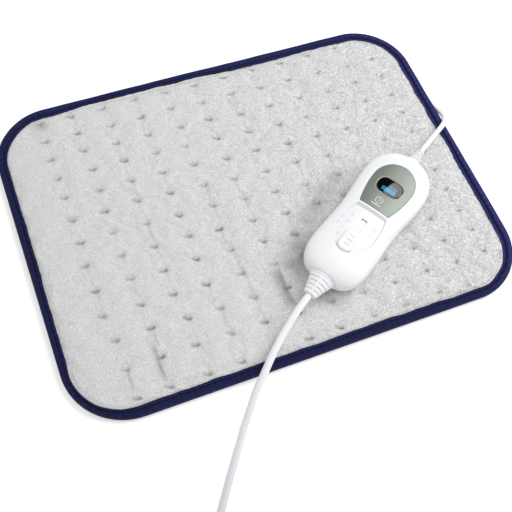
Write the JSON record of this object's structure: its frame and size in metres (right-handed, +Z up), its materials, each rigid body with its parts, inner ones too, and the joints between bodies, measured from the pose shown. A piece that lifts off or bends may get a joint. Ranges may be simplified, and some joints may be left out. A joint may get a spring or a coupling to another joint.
{
  "type": "heating pad with controller",
  "caption": "Quilted rectangular heating pad with a bound edge, a hand controller with a slide knob and display window on a short lead, and a mains lead put away in a tied coil.",
  "frame": {"origin": "middle of the pad's underside, on the surface it lies on", "axes": "+X along the pad's long side, towards the edge where the pad lead leaves it, +Y across, +Z up"},
  "size_m": [0.4055, 0.5207, 0.0395],
  "materials": {
    "plush_cloth": "short-pile light grey plush",
    "backing_cloth": "flat-woven light grey backing",
    "binding_tape": "navy folded tape",
    "wadding": "needled white wadding",
    "carrier_cloth": "plain non-woven sheet",
    "wire_insulation": "smooth silicone jacket",
    "white_pvc": "soft moulded white",
    "housing_abs": "satin-gloss moulded white",
    "bezel_lacquer": "grey-green metallic lacquer",
    "window_acrylic": "dark polished window",
    "white_abs": "moulded white",
    "black_plastic": "moulded black",
    "board_laminate": "green coated laminate",
    "blue_film": "dipped blue",
    "yellow_film": "boxed yellow",
    "fuse_glass": "clear tube",
    "core_brown": "brown insulation",
    "core_blue": "blue insulation",
    "screw_steel": "zinc-plated",
    "tie_strap": "black hook-and-loop strap",
    "pin_nickel": "nickel-plated"
  },
  "bodies": {
    "pad": {"bottom_cover": "backing_cloth", "lower_wadding": "wadding", "element_carrier": "carrier_cloth", "heating_wire": "wire_insulation", "upper_wadding": "wadding", "top_cover": "plush_cloth", "edge_binding": "binding_tape", "lead_anchor": "white_pvc", "pad_lead": "white_pvc", "mains_cord": "white_pvc", "mains_cord_coil": "white_pvc", "coil_tie": "tie_strap", "mains_cord_tail": "white_pvc", "plug_body": "white_pvc", "plug_boot": "white_pvc", "plug_pin_1": "pin_nickel", "plug_pin_2": "pin_nickel"},
    "controller": {"upper_shell": "housing_abs", "bezel_plate": "bezel_lacquer", "display_window": "window_acrylic", "lower_shell": "housing_abs", "circuit_board": "board_laminate", "display_light_box": "white_abs", "switch_body": "black_plastic", "control_chip": "black_plastic", "power_triac": "black_plastic", "suppression_capacitor": "yellow_film", "dropper_capacitor": "blue_film", "mains_fuse": "fuse_glass", "smoothing_capacitor": "black_plastic", "mains_terminal": "white_abs", "lead_terminal": "white_abs", "mains_core_1": "core_brown", "mains_core_2": "core_blue", "lead_core_1": "core_brown", "lead_core_2": "core_blue", "mains_boot": "white_pvc", "lead_boot": "white_pvc", "housing_screw_1": "screw_steel", "housing_screw_2": "screw_steel", "housing_screw_3": "screw_steel", "housing_screw_4": "screw_steel"},
    "slide_knob": {"slide_knob": "housing_abs", "slot_shutter": "housing_abs", "switch_slider": "white_abs"}
  },
  "joints": [
    {"name": "controller_lift", "type": "slide", "parent": "pad", "child": "controller", "axis": [0, 0, 1], "range_m": [0, 0.03]},
    {"name": "knob_slide", "type": "slide", "parent": "controller", "child": "slide_knob", "axis": [0.8443, 0.5358, 0], "range_m": [0, 0.022]}
  ]
}
